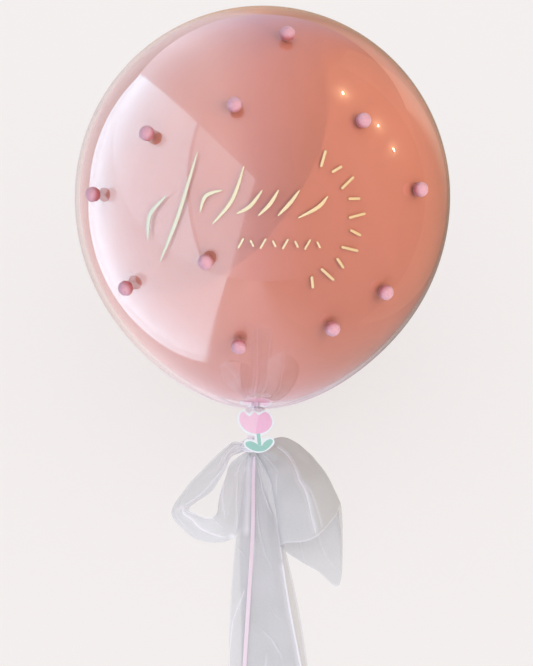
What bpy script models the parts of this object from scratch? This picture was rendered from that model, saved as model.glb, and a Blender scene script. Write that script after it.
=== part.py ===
"""Clear bubble balloon with pom-poms, vinyl marks, a tulip tag and a tulle bow, lying on the floor.

Metres, +Z up. The balloon leans so that its neck points forward (-Y) and down, and the face
with the marks looks forward and up. The origin is the centre of the small flat spot below.
In the balloon's own frame +Y runs from the neck to the crown and +Z out through the middle
of the decorated face.
"""

import math

import bmesh
import bpy
from mathutils import Matrix, Vector

# Bubble: a sphere with a slightly raised crown and a foot drawn out towards the neck
BUBBLE_RADIUS = 0.290
CROWN_RISE = 0.005
FOOT_RISE = 0.038
FOOT_ROUND_SHARE = 0.45
FOOT_POINT_POWER = 9
FLAT_SPOT_DEPTH = 0.0045
BUBBLE_SIDES = 60
BUBBLE_RINGS = 26

# Neck, gathered below the foot and tied in the knot of the bow
NECK_RADIUS = 0.010
NECK_FLARE_RADIUS = 0.016
NECK_LENGTH = 0.0587
KNOT_DISTANCE = BUBBLE_RADIUS + FOOT_RISE + NECK_LENGTH
KNOT_RADIUS = 0.022
KNOT_HALF_LENGTH = 0.015
KNOT_FLOOR_GAP = 0.003
NECK_DEPTH_IN_KNOT = 0.006

# Gap between pieces that touch
GAP = 0.0003

# Pom-poms: degrees down from the crown and degrees around from the middle of the face
POM_RADIUS = 0.012
POM_GLUE_DEPTH = 0.0015
POM_SIDES = 10
POM_RINGS = 7
FRONT_POMS = (
    (38.0, 9.0),
    (65.5, -9.5),
    (74.5, -37.0),
    (68.5, 31.5),
    (92.0, -58.0),
    (87.5, 52.0),
    (111.0, -16.5),
    (119.5, -49.0),
    (118.0, 45.0),
    (130.5, 28.5),
    (138.0, -7.5),
)
REAR_POMS = ((60.0, 122.0), (66.0, -120.0), (95.0, 150.0), (48.0, 172.0))

# Vinyl marks, cut from film that lies on the face
FILM_THICKNESS = 0.0006
BRUSH_WIDTH = 0.0055
BAR_WIDTH = 0.0030
# Start, middle and end of each brush stroke across the face, in (right, up) from its middle
BRUSH_STROKES = (
    ((-0.149, -0.110), (-0.123, -0.040), (-0.098, 0.054)),
    ((-0.168, -0.078), (-0.166, -0.041), (-0.142, -0.012)),
    ((-0.091, -0.035), (-0.083, -0.011), (-0.059, -0.002)),
    ((-0.072, -0.052), (-0.044, -0.016), (-0.028, 0.035)),
    ((-0.037, -0.036), (-0.017, -0.024), (0.000, 0.000)),
    ((-0.005, -0.038), (0.012, -0.020), (0.024, 0.001)),
    ((0.024, -0.037), (0.041, -0.018), (0.055, 0.002)),
    ((0.054, -0.039), (0.083, -0.022), (0.097, -0.005)),
)
SMALL_ROW_START = (-0.029, -0.079)
SMALL_ROW_END = (0.086, -0.077)
SMALL_ROW_COUNT = 8
SMALL_BAR_LENGTHS = (0.017, 0.011)
SMALL_BAR_SLANT = math.radians(62)
ARC_ROW_CENTRE = (0.041, -0.039)
ARC_ROW_RADIUS = 0.101
ARC_ROW_COUNT = 10
ARC_ROW_FROM = math.radians(62)
ARC_ROW_TO = math.radians(-68)
ARC_BAR_LENGTHS = (0.026, 0.018)
ARC_BAR_WIDTH = 0.0042
ARC_BAR_SLANT = math.radians(14)

# Tulip tag: a die-cut card in front of the neck
TAG_THICKNESS = 0.0008
TAG_TURN = math.radians(8)
TAG_FOOT_GAP = 0.0015
TAG_RIGHT = 0.0020
# Right half of the card's outline from the middle petal's top to the foot of the leaves
TAG_HALF_OUTLINE = (
    (0.0000, 0.0185),
    (0.0045, 0.0165),
    (0.0070, 0.0125),
    (0.0100, 0.0155),
    (0.0150, 0.0185),
    (0.0215, 0.0165),
    (0.0270, 0.0075),
    (0.0268, -0.0040),
    (0.0200, -0.0145),
    (0.0100, -0.0205),
    (0.0062, -0.0225),
    (0.0068, -0.0270),
    (0.0125, -0.0285),
    (0.0185, -0.0260),
    (0.0222, -0.0285),
    (0.0195, -0.0385),
    (0.0105, -0.0460),
    (0.0000, -0.0478),
)
TAG_DROP = BUBBLE_RADIUS + FOOT_RISE + TAG_FOOT_GAP + TAG_HALF_OUTLINE[0][1]

# Tulle bow: points are (right of the knot, ahead of the knot, above the floor)
TULLE_THICKNESS = 0.002
PLEAT_HEIGHT = 0.0016
# The left loop stands on the floor as a band: its outer edge, then its inner edge
LEFT_LOOP_OUTER = (
    (-0.007, -0.001, 0.024),
    (-0.030, -0.002, 0.029),
    (-0.044, 0.013, 0.030),
    (-0.068, 0.037, 0.021),
    (-0.100, 0.077, 0.008),
    (-0.121, 0.126, 0.005),
    (-0.103, 0.159, 0.004),
    (-0.076, 0.182, 0.004),
    (-0.033, 0.181, 0.004),
    (-0.014, 0.144, 0.0055),
    (-0.010, 0.086, 0.0065),
    (-0.008, 0.040, 0.010),
    (-0.004, 0.008, 0.013),
)
LEFT_LOOP_INNER = (
    (-0.007, 0.005, 0.018),
    (-0.022, 0.022, 0.028),
    (-0.034, 0.039, 0.036),
    (-0.043, 0.078, 0.046),
    (-0.062, 0.122, 0.046),
    (-0.092, 0.148, 0.038),
    (-0.084, 0.157, 0.038),
    (-0.066, 0.164, 0.036),
    (-0.054, 0.156, 0.036),
    (-0.051, 0.126, 0.036),
    (-0.043, 0.076, 0.032),
    (-0.034, 0.036, 0.023),
    (-0.008, 0.006, 0.020),
)
# The right loop is a puffed pocket, open at the front. It starts as a small ring inside the knot,
# and each line gives three points on the way and one on the rim of its mouth
RIGHT_LOOP_ROOT = (0.006, 0.002, 0.0205)
RIGHT_LOOP_ROOT_RADIUS = 0.0065
RIGHT_LOOP_LINES = (
    ((0.016, 0.030, 0.008), (0.036, 0.070, 0.004), (0.052, 0.140, 0.003), (0.062, 0.197, 0.003)),
    ((0.030, 0.022, 0.006), (0.058, 0.060, 0.003), (0.082, 0.140, 0.003), (0.098, 0.232, 0.003)),
    ((0.040, 0.004, 0.009), (0.084, 0.045, 0.005), (0.127, 0.130, 0.003), (0.137, 0.258, 0.003)),
    ((0.046, -0.012, 0.033), (0.086, 0.024, 0.036), (0.119, 0.074, 0.029), (0.137, 0.112, 0.013)),
    ((0.038, 0.010, 0.034), (0.072, 0.044, 0.044), (0.108, 0.104, 0.054), (0.126, 0.160, 0.040)),
    ((0.028, 0.026, 0.028), (0.050, 0.066, 0.046), (0.078, 0.130, 0.058), (0.094, 0.208, 0.044)),
    ((0.020, 0.030, 0.022), (0.034, 0.070, 0.034), (0.050, 0.140, 0.038), (0.062, 0.204, 0.028)),
)
# The two tails lie one on the other: left edge, then right edge
BACK_TAIL_LEFT = (
    (-0.005, 0.007, 0.0100),
    (-0.008, 0.060, 0.0030),
    (-0.016, 0.180, 0.0030),
    (-0.010, 0.320, 0.0030),
    (-0.004, 0.500, 0.0030),
)
BACK_TAIL_RIGHT = (
    (0.005, 0.007, 0.0100),
    (0.022, 0.080, 0.0030),
    (0.042, 0.185, 0.0030),
    (0.070, 0.330, 0.0030),
    (0.098, 0.505, 0.0030),
)
FRONT_TAIL_LEFT = (
    (-0.006, 0.006, 0.0165),
    (-0.014, 0.062, 0.0100),
    (-0.022, 0.185, 0.0085),
    (-0.026, 0.320, 0.0085),
    (-0.024, 0.500, 0.0085),
)
FRONT_TAIL_RIGHT = (
    (0.006, 0.006, 0.0165),
    (0.030, 0.072, 0.0110),
    (0.046, 0.190, 0.0085),
    (0.064, 0.320, 0.0085),
    (0.094, 0.495, 0.0085),
)

# Ribbon: 6 mm satin, laid over the front tail and wound up beyond its end
RIBBON_WIDTH = 0.006
RIBBON_POINTS = (
    (0.001, 0.024, 0.0250),
    (0.001, 0.040, 0.0190),
    (0.001, 0.062, 0.0160),
    (0.002, 0.100, 0.0148),
    (0.003, 0.150, 0.0145),
    (0.003, 0.200, 0.0145),
    (0.002, 0.250, 0.0145),
    (0.001, 0.300, 0.0145),
    (0.000, 0.350, 0.0145),
    (-0.001, 0.400, 0.0145),
    (-0.002, 0.450, 0.0145),
    (-0.002, 0.490, 0.0145),
    (-0.002, 0.512, 0.0132),
    (-0.002, 0.532, 0.0070),
    (-0.002, 0.548, 0.0036),
    (-0.002, 0.568, 0.0034),
)
COIL_MIDDLE_RADIUS = 0.033
COIL_TURNS = 3
COIL_PITCH = 0.0026
COIL_HEIGHT = 0.0062

COLOURS = {
    "clear film": ((0.86, 0.62, 0.60, 1.0), 0.05),
    "pom-pom": ((0.90, 0.62, 0.72, 1.0), 0.95),
    "vinyl": ((0.90, 0.82, 0.60, 1.0), 0.45),
    "card": ((0.93, 0.72, 0.82, 1.0), 0.55),
    "tulle": ((0.82, 0.81, 0.84, 1.0), 0.80),
    "ribbon": ((0.88, 0.74, 0.82, 1.0), 0.35),
}


def clear_scene():
    for item in list(bpy.data.objects):
        bpy.data.objects.remove(item)


def material(name):
    found = bpy.data.materials.get(name)
    if found:
        return found
    colour, roughness = COLOURS[name]
    made = bpy.data.materials.new(name)
    made.use_nodes = True
    shader = made.node_tree.nodes["Principled BSDF"]
    shader.inputs["Base Color"].default_value = colour
    shader.inputs["Roughness"].default_value = roughness
    shader.inputs["Metallic"].default_value = 0.0
    return made


def add_mesh(name, bm, material_name, parent=None, smooth=True):
    bmesh.ops.recalc_face_normals(bm, faces=bm.faces)
    mesh = bpy.data.meshes.new(name)
    bm.to_mesh(mesh)
    bm.free()
    if smooth:
        mesh.shade_smooth()
        mesh.set_sharp_from_angle(angle=math.radians(40))
    item = bpy.data.objects.new(name, mesh)
    bpy.context.scene.collection.objects.link(item)
    mesh.materials.append(material(material_name))
    item.parent = parent
    return item


def hide_helper(item):
    item.hide_render = True
    item.display_type = "WIRE"


def curve_through(points, share):
    """Point at a share from 0 to 1 along a smooth curve through points."""
    points = [Vector(point) for point in points]
    spans = len(points) - 1
    place = min(max(share, 0.0), 1.0) * spans
    first = min(int(place), spans - 1)
    t = place - first
    before = points[max(first - 1, 0)]
    start, end = points[first], points[first + 1]
    after = points[min(first + 2, spans)]
    slope_in = (end - before) / 2
    slope_out = (after - start) / 2
    return (
        start * (2 * t**3 - 3 * t**2 + 1)
        + slope_in * (t**3 - 2 * t**2 + t)
        + end * (3 * t**2 - 2 * t**3)
        + slope_out * (t**3 - t**2)
    )


# Shape of the bubble


def bubble_reach(polar):
    """Distance from the bubble's centre to its skin, at an angle down from the crown."""
    up = math.cos(polar)
    if up >= 0:
        return BUBBLE_RADIUS + CROWN_RISE * up**2
    pointed = (1 - FOOT_ROUND_SHARE) * abs(up) ** FOOT_POINT_POWER
    return BUBBLE_RADIUS + FOOT_RISE * (FOOT_ROUND_SHARE * up**2 + pointed)


def lowest_below_centre(lean):
    """Drop from the centre to the lowest point of the skin, and how far ahead that point is."""
    steps = 720
    drop, ahead = 0.0, 0.0
    for step in range(steps + 1):
        polar = math.pi * step / steps
        reach = bubble_reach(polar)
        below = reach * math.sin(polar - lean)
        if below > drop:
            drop, ahead = below, -reach * math.cos(polar - lean)
    return drop, ahead


def resting_lean():
    """Angle of the balloon's axis from level that brings the knot just above the floor."""
    lean = math.radians(45)
    for _ in range(40):
        centre_height = lowest_below_centre(lean)[0] - FLAT_SPOT_DEPTH
        knot_drop = math.hypot(KNOT_RADIUS * math.cos(lean), KNOT_HALF_LENGTH * math.sin(lean))
        lean = math.asin((centre_height - knot_drop - KNOT_FLOOR_GAP) / KNOT_DISTANCE)
    return lean


LEAN = resting_lean()
SKIN_DROP, SPOT_AHEAD = lowest_below_centre(LEAN)
CENTRE = Vector((0, SPOT_AHEAD, SKIN_DROP - FLAT_SPOT_DEPTH))
KNOT = CENTRE + KNOT_DISTANCE * Vector((0, -math.cos(LEAN), -math.sin(LEAN)))


def face_point(right, up, lift):
    """Point above the face of the bubble, in the balloon's frame."""
    reach = BUBBLE_RADIUS
    for _ in range(8):
        reach = bubble_reach(math.acos(up / reach))
    out = math.sqrt(reach**2 - right**2 - up**2)
    return Vector((right, up, out)) * ((reach + lift) / reach)


def direction(down, around):
    down, around = math.radians(down), math.radians(around)
    return Vector((math.sin(down) * math.sin(around), math.cos(down), math.sin(down) * math.cos(around)))


def turned_solid(profile, sides):
    """Closed solid turned about Y from (radius, along) points that start and end on the axis."""
    bm = bmesh.new()
    rows = []
    for radius, along in profile:
        if radius == 0:
            rows.append([bm.verts.new((0, along, 0))])
            continue
        angles = [2 * math.pi * side / sides for side in range(sides)]
        rows.append([bm.verts.new((radius * math.sin(a), along, radius * math.cos(a))) for a in angles])
    for upper, lower in zip(rows, rows[1:]):
        for side in range(sides):
            beside = (side + 1) % sides
            corners = [upper[side % len(upper)], upper[beside % len(upper)]]
            corners += [lower[beside % len(lower)], lower[side % len(lower)]]
            bm.faces.new(list(dict.fromkeys(corners)))
    return bm


def bubble_profile():
    """Skin from the crown to the neck, then the gathered neck to its end inside the knot."""
    foot_polar = math.pi - math.asin(NECK_FLARE_RADIUS / (BUBBLE_RADIUS + FOOT_RISE))
    profile = [(0, bubble_reach(0))]
    for ring in range(1, BUBBLE_RINGS + 1):
        polar = foot_polar * ring / BUBBLE_RINGS
        reach = bubble_reach(polar)
        profile.append((reach * math.sin(polar), reach * math.cos(polar)))
    foot = profile[-1][1]
    neck_end = -(KNOT_DISTANCE - KNOT_HALF_LENGTH + NECK_DEPTH_IN_KNOT)
    profile.append((NECK_RADIUS, foot - 0.008))
    profile.append((NECK_RADIUS, neck_end))
    profile.append((0, neck_end))
    return profile


def make_bubble(axis):
    bubble = add_mesh("bubble", turned_solid(bubble_profile(), BUBBLE_SIDES), "clear film", axis)
    half = BUBBLE_RADIUS
    bm = bmesh.new()
    bmesh.ops.create_cube(bm, size=2 * half)
    cutter = add_mesh("flat_spot_cutter", bm, "clear film", smooth=False)
    cutter.location = (0, 0, -half)
    hide_helper(cutter)
    cut = bubble.modifiers.new("flat spot", "BOOLEAN")
    cut.operation = "DIFFERENCE"
    cut.object = cutter


def make_pom(name, down, around, axis):
    """Ball flattened where it is glued to the skin."""
    bm = bmesh.new()
    bmesh.ops.create_uvsphere(bm, u_segments=POM_SIDES, v_segments=POM_RINGS, radius=POM_RADIUS)
    glue = POM_RADIUS - POM_GLUE_DEPTH
    pieces = bm.verts[:] + bm.edges[:] + bm.faces[:]
    cut = bmesh.ops.bisect_plane(bm, geom=pieces, plane_co=(0, 0, -glue), plane_no=(0, 0, -1), clear_outer=True)
    rim = [edge for edge in cut["geom_cut"] if isinstance(edge, bmesh.types.BMEdge)]
    bmesh.ops.contextual_create(bm, geom=rim)
    outward = direction(down, around)
    pom = add_mesh(name, bm, "pom-pom", axis)
    pom.location = outward * (bubble_reach(math.radians(down)) + GAP + glue)
    pom.rotation_mode = "QUATERNION"
    pom.rotation_quaternion = outward.to_track_quat("Z", "Y")


def make_poms(axis):
    for number, (down, around) in enumerate(FRONT_POMS + REAR_POMS, start=1):
        make_pom(f"pom_{number:02d}", down, around, axis)


# Vinyl marks


def make_film(name, path, width_at, axis):
    """Strip of film that follows the face along path, a list of (right, up)."""
    bm = bmesh.new()
    rows = []
    last = len(path) - 1
    for step, (right, up) in enumerate(path):
        ahead = Vector(path[min(step + 1, last)]) - Vector(path[max(step - 1, 0)])
        across = Vector((-ahead.y, ahead.x)).normalized() * width_at(step / last) / 2
        row = []
        for side, lift in ((1, GAP), (-1, GAP), (-1, GAP + FILM_THICKNESS), (1, GAP + FILM_THICKNESS)):
            row.append(bm.verts.new(face_point(right + side * across.x, up + side * across.y, lift)))
        rows.append(row)
    for row, following in zip(rows, rows[1:]):
        for corner in range(4):
            beside = (corner + 1) % 4
            bm.faces.new((row[corner], row[beside], following[beside], following[corner]))
    bm.faces.new(rows[0])
    bm.faces.new(rows[-1])
    add_mesh(name, bm, "vinyl", axis)


def brush_width(share):
    """Thin at both ends of a stroke and full in its middle."""
    return BRUSH_WIDTH * (0.25 + 0.75 * math.sin(math.pi * share))


def make_brush_strokes(axis):
    steps = 8
    for number, stroke in enumerate(BRUSH_STROKES, start=1):
        path = [curve_through([(x, y, 0) for x, y in stroke], step / steps).xy for step in range(steps + 1)]
        make_film(f"brush_mark_{number}", path, brush_width, axis)


def bar_path(middle, angle, length):
    along = Vector((math.cos(angle), math.sin(angle))) * length / 2
    middle = Vector(middle)
    return [middle - along, middle, middle + along]


def make_small_row(axis):
    start, end = Vector(SMALL_ROW_START), Vector(SMALL_ROW_END)
    for number in range(SMALL_ROW_COUNT):
        middle = start.lerp(end, number / (SMALL_ROW_COUNT - 1))
        slant = SMALL_BAR_SLANT if number % 2 == 0 else math.pi - SMALL_BAR_SLANT
        path = bar_path(middle, slant, SMALL_BAR_LENGTHS[number % 2])
        make_film(f"small_mark_{number + 1}", path, lambda share: BAR_WIDTH, axis)


def make_arc_row(axis):
    for number in range(ARC_ROW_COUNT):
        around = ARC_ROW_FROM + (ARC_ROW_TO - ARC_ROW_FROM) * number / (ARC_ROW_COUNT - 1)
        middle = Vector(ARC_ROW_CENTRE) + ARC_ROW_RADIUS * Vector((math.cos(around), math.sin(around)))
        slant = ARC_BAR_SLANT if number % 2 == 0 else -ARC_BAR_SLANT
        path = bar_path(middle, around + slant, ARC_BAR_LENGTHS[number % 2])
        make_film(f"arc_mark_{number + 1:02d}", path, lambda share: ARC_BAR_WIDTH, axis)


# Tulip tag


def make_tag(axis):
    half = [Vector((x, y, 0)) for x, y in TAG_HALF_OUTLINE]
    steps = 2 * (len(half) - 1)
    right = [curve_through(half, step / steps) for step in range(steps + 1)]
    left = [Vector((-point.x, point.y, 0)) for point in reversed(right[1:-1])]
    bm = bmesh.new()
    card = bm.faces.new([bm.verts.new(point) for point in right + left])
    lifted = bmesh.ops.extrude_face_region(bm, geom=[card])
    raised = [item for item in lifted["geom"] if isinstance(item, bmesh.types.BMVert)]
    bmesh.ops.translate(bm, verts=raised, vec=(0, 0, TAG_THICKNESS))
    tag = add_mesh("tulip_tag", bm, "card", axis)
    tag.location = (TAG_RIGHT, -TAG_DROP, KNOT_RADIUS + GAP)
    tag.rotation_euler = (0, 0, TAG_TURN)


# Tulle bow


def from_knot(point):
    """Place in the world of a point given from the knot."""
    right, ahead, height = point
    return Vector((KNOT.x + right, KNOT.y - ahead, height))


def make_tulle(name, lines, across, along, pleats=0, closed=False):
    """Sheet drawn over lines that run side by side, pleated along them and given a thickness."""
    count = len(lines)
    bm = bmesh.new()
    rows = []
    for column in range(across if closed else across + 1):
        share = column / across
        row = []
        for step in range(along + 1):
            cross = [curve_through(line, step / along) for line in lines]
            if closed:
                cross = [cross[-1]] + cross + cross[:2]
                point = curve_through(cross, (1 + share * count) / (count + 2))
            else:
                point = curve_through(cross, share)
            spread = min(1.0, 3 * step / along)
            point.z += PLEAT_HEIGHT * spread * math.sin(2 * math.pi * pleats * share)
            point.z = max(point.z, TULLE_THICKNESS / 2 + GAP)
            row.append(bm.verts.new(from_knot(point)))
        rows.append(row)
    pairs = list(zip(rows, rows[1:]))
    if closed:
        pairs.append((rows[-1], rows[0]))
    for row, beside in pairs:
        for step in range(along):
            bm.faces.new((row[step], row[step + 1], beside[step + 1], beside[step]))
    sheet = add_mesh(name, bm, "tulle")
    thicken = sheet.modifiers.new("thickness", "SOLIDIFY")
    thicken.thickness = TULLE_THICKNESS
    thicken.offset = 0
    hide_helper(sheet)
    return sheet


def knot_profile():
    """Rounded lump with a blind hole for the neck, from the hole's end round to the far end."""
    hole = NECK_RADIUS + GAP
    hole_end = KNOT_HALF_LENGTH - NECK_DEPTH_IN_KNOT - GAP
    mouth = KNOT_HALF_LENGTH * math.sqrt(1 - (hole / KNOT_RADIUS) ** 2)
    first = math.asin(hole / KNOT_RADIUS)
    profile = [(0, hole_end), (hole, hole_end), (hole, mouth)]
    steps = 8
    for step in range(1, steps):
        angle = first + (math.pi - first) * step / steps
        profile.append((KNOT_RADIUS * math.sin(angle), KNOT_HALF_LENGTH * math.cos(angle)))
    profile.append((0, -KNOT_HALF_LENGTH))
    return profile


def right_loop_lines():
    """Lines of the right loop, each begun on the small ring inside the knot."""
    lines = []
    for number, line in enumerate(RIGHT_LOOP_LINES):
        angle = math.radians(225) + 2 * math.pi * number / len(RIGHT_LOOP_LINES)
        # The ring faces forward and to the right
        across = RIGHT_LOOP_ROOT_RADIUS * Vector((math.sqrt(0.5), -math.sqrt(0.5), 0))
        upward = RIGHT_LOOP_ROOT_RADIUS * Vector((0, 0, 1))
        start = Vector(RIGHT_LOOP_ROOT) + across * math.cos(angle) + upward * math.sin(angle)
        lines.append([start, *line])
    return lines


def make_bow(axis):
    """Knot around the neck with the two loops and the two tails that come out of it."""
    bow = add_mesh("tulle_bow", turned_solid(knot_profile(), 20), "tulle", axis)
    bow.location = (0, -KNOT_DISTANCE, 0)
    limbs = (
        make_tulle("back_tail_form", (BACK_TAIL_LEFT, BACK_TAIL_RIGHT), 6, 10),
        make_tulle("front_tail_form", (FRONT_TAIL_LEFT, FRONT_TAIL_RIGHT), 9, 10, pleats=2),
        make_tulle("left_loop_form", (LEFT_LOOP_OUTER, LEFT_LOOP_INNER), 3, 27),
        make_tulle("right_loop_form", right_loop_lines(), 18, 9, closed=True),
    )
    for limb in limbs:
        join = bow.modifiers.new(limb.name, "BOOLEAN")
        join.operation = "UNION"
        join.object = limb


# Ribbon


def make_ribbon():
    """Free stretch of the ribbon as a tube, and its wound-up rest as a ring."""
    length = sum(
        (Vector(b) - Vector(a)).length for a, b in zip(RIBBON_POINTS, RIBBON_POINTS[1:])
    )
    steps = round(length / (2.5 * RIBBON_WIDTH))
    data = bpy.data.curves.new("ribbon", "CURVE")
    data.dimensions = "3D"
    data.bevel_depth = RIBBON_WIDTH / 2
    data.bevel_resolution = 2
    data.use_fill_caps = True
    spline = data.splines.new("POLY")
    spline.points.add(steps)
    for step, point in enumerate(spline.points):
        point.co = (*from_knot(curve_through(RIBBON_POINTS, step / steps)), 1)
    data.materials.append(material("ribbon"))
    ribbon = bpy.data.objects.new("ribbon", data)
    bpy.context.scene.collection.objects.link(ribbon)


def make_coil():
    outer = COIL_MIDDLE_RADIUS + (COIL_TURNS / 2) * COIL_PITCH
    inner = COIL_MIDDLE_RADIUS - (COIL_TURNS / 2) * COIL_PITCH
    sides = 40
    bm = bmesh.new()
    corners = ((outer, 0), (outer, COIL_HEIGHT), (inner, COIL_HEIGHT), (inner, 0))
    rings = []
    for side in range(sides):
        angle = 2 * math.pi * side / sides
        rings.append([bm.verts.new((r * math.cos(angle), r * math.sin(angle), z)) for r, z in corners])
    for side, ring in enumerate(rings):
        beside = rings[(side + 1) % sides]
        for corner in range(4):
            following = (corner + 1) % 4
            bm.faces.new((ring[corner], ring[following], beside[following], beside[corner]))
    coil = add_mesh("ribbon_coil", bm, "ribbon")
    # The free stretch arrives at the ring's right-hand side, so the ring's centre lies to its left
    end_right, end_ahead, _ = RIBBON_POINTS[-1]
    sideways = outer - RIBBON_WIDTH / 2
    clear = math.sqrt(outer**2 - (outer - RIBBON_WIDTH) ** 2)
    coil.location = from_knot((end_right - sideways, end_ahead + clear + GAP, GAP))


def main():
    clear_scene()
    axis = bpy.data.objects.new("balloon_axis", None)
    bpy.context.scene.collection.objects.link(axis)
    axis.matrix_world = Matrix.Translation(CENTRE) @ Matrix.Rotation(LEAN, 4, "X")
    make_bubble(axis)
    make_poms(axis)
    make_brush_strokes(axis)
    make_small_row(axis)
    make_arc_row(axis)
    make_tag(axis)
    make_bow(axis)
    make_ribbon()
    make_coil()


main()
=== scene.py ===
"""Looks of the clear bubble balloon: film, inner balloon, pom-poms, vinyl marks, tag, tulle and ribbon."""

import math
from math import cos, pi, radians, sin

import bmesh
import bpy
from mathutils import Matrix, Vector, geometry, noise


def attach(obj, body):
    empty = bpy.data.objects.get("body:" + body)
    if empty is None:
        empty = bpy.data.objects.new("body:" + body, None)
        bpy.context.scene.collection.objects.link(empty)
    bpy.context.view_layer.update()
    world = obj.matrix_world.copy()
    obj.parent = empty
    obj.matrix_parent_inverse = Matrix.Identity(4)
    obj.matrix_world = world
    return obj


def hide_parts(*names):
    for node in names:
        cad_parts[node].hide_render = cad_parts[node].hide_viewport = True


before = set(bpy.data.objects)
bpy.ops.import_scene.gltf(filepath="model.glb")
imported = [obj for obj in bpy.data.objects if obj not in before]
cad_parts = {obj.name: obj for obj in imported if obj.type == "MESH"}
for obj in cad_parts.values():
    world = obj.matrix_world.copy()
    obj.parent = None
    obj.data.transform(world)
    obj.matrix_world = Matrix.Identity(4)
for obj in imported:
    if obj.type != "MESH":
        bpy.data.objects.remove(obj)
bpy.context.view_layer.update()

MM = 0.001


def in_metres(points):
    return [tuple(c * MM for c in point) for point in points]


# Bubble, as in the CAD model
BUBBLE_RADIUS = 0.290
CROWN_RISE = 0.005
FOOT_RISE = 0.038
FOOT_ROUND_SHARE = 0.45
FOOT_POINT_POWER = 9
FLAT_SPOT_DEPTH = 0.0045
NECK_RADIUS = 0.010
NECK_LENGTH = 0.0587
KNOT_DISTANCE = BUBBLE_RADIUS + FOOT_RISE + NECK_LENGTH
KNOT_RADIUS = 0.022
KNOT_HALF_LENGTH = 0.015
KNOT_FLOOR_GAP = 0.003

# Photo frame: pixels, and the pixel of the balloon's centre
PHOTO_WIDTH, PHOTO_HEIGHT = 533, 666
BALLOON_PIXEL = (262.5, 197.0)
METRES_PER_PIXEL = BUBBLE_RADIUS / 187.5
CAMERA_ROLL = radians(2.0)
CAMERA_DISTANCE = 6.0
SENSOR = 36.0
WORLD_STRENGTH = 0.80

# Film: rings down the body, steps down the neck, and folds that die out above the foot
FILM_THICKNESS = 0.0005
FILM_SIDES = 160
BODY_RINGS = 110
NECK_STEPS = 12
FOOT_RADIUS = 0.016
FOOT_POLAR = pi - math.asin(FOOT_RADIUS / (BUBBLE_RADIUS + FOOT_RISE))
NECK_FLARE = 0.006
NECK_IN_KNOT = 0.006
GATHER_REACH = 0.045
GATHER_DEPTH = 0.10

# The balloon sealed inside, and its tied-off tail in the neck
INNER_GAP = 0.0050
INNER_SHIFT = Vector((0.0028, 0.0026, 0.0))
INNER_FLOOR_GAP = 0.0016
INNER_ROUND_OFF = 0.003
INNER_ROUND_FROM = 0.93
TAIL_TOP = BUBBLE_RADIUS + FOOT_RISE - 0.020
TAIL_LENGTH = 0.072
TAIL_RADIUS = 0.0078
TAIL_WAIST = 0.0014
TAIL_FLARE = 0.009
TAIL_STEPS = 30
TAIL_SIDES = 72

# Pom-poms: degrees down from the crown and degrees round from the face
POM_RADIUS = 0.012
POM_SEAT = 0.9 * POM_RADIUS
# On a ball of radius 1, painted shade darkens its colour from this height down over this span
POM_SHADE_FROM = 0.62
POM_SHADE_SPAN = 0.95
FRONT_POMS = (
    (38.0, 9.0), (65.5, -9.5), (74.5, -37.0), (68.5, 31.5), (92.0, -58.0), (87.5, 52.0),
    (111.0, -16.5), (119.5, -49.0), (118.0, 45.0), (130.5, 28.5), (138.0, -7.5),
)
REAR_POMS = ((60.0, 122.0), (66.0, -120.0), (95.0, 150.0), (48.0, 172.0))

# Vinyl marks, in (right, up) from the middle of the face
MARK_LIFT = 0.00008
MARK_THICKNESS = 0.00018
MARK_TIP_WIDTH = 0.00005
BRUSH_WIDTH = 0.0055
BRUSH_STEPS = 60
BAR_WIDTH = 0.0030
BAR_STEPS = 40
BRUSH_STROKES = (
    ((-0.149, -0.110), (-0.123, -0.040), (-0.098, 0.054)),
    ((-0.168, -0.078), (-0.166, -0.041), (-0.142, -0.012)),
    ((-0.091, -0.035), (-0.083, -0.011), (-0.059, -0.002)),
    ((-0.072, -0.052), (-0.044, -0.016), (-0.028, 0.035)),
    ((-0.037, -0.036), (-0.017, -0.024), (0.000, 0.000)),
    ((-0.005, -0.038), (0.012, -0.020), (0.024, 0.001)),
    ((0.024, -0.037), (0.041, -0.018), (0.055, 0.002)),
    ((0.054, -0.039), (0.083, -0.022), (0.097, -0.005)),
)
SMALL_ROW_START = (-0.029, -0.079)
SMALL_ROW_END = (0.086, -0.077)
SMALL_ROW_COUNT = 8
SMALL_BAR_LENGTHS = (0.017, 0.011)
SMALL_BAR_SLANT = radians(62)
ARC_ROW_CENTRE = (0.041, -0.039)
ARC_ROW_RADIUS = 0.101
ARC_ROW_COUNT = 10
ARC_ROW_FROM = radians(62)
ARC_ROW_TO = radians(-68)
ARC_BAR_LENGTHS = (0.026, 0.018)
ARC_BAR_WIDTH = 0.0042
ARC_BAR_SLANT = radians(14)

# Tulip tag: the card's edge and its print, in millimetres in the card's frame
GAP = 0.0003
TAG_THICKNESS = 0.0008
TAG_CURVE_STEPS = 6
TAG_SPLIT_STEPS = 12
TAG_POINT_MERGE = 0.00002
TAG_TURN = radians(8)
TAG_FOOT_GAP = 0.0015
TAG_RIGHT = 0.0020
TAG_DROP = BUBBLE_RADIUS + FOOT_RISE + TAG_FOOT_GAP + 0.0185
TAG_BORDER = in_metres((
    (-9.1, 15.3), (-1.4, 18.1), (5.9, 14.5), (15.4, 17.1), (23.7, 11.7), (27.1, 0.9), (26.3, -6.8),
    (20.6, -14.4), (11.7, -19.4), (6.7, -21.5), (7.1, -26.1), (12.1, -25.9), (19.6, -25.1),
    (24.9, -29.5), (24.1, -36.6), (15.8, -43.6), (6.0, -47.1), (-3.3, -47.1), (-13.7, -42.4),
    (-20.8, -36.1), (-22.4, -29.8), (-18.8, -25.4), (-12.5, -24.9), (-5.9, -26.9), (-5.1, -21.1),
    (-13.4, -17.4), (-21.6, -10.5), (-26.5, -1.2), (-27.5, 8.7), (-24.2, 17.5), (-17.1, 20.2),
))
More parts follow.
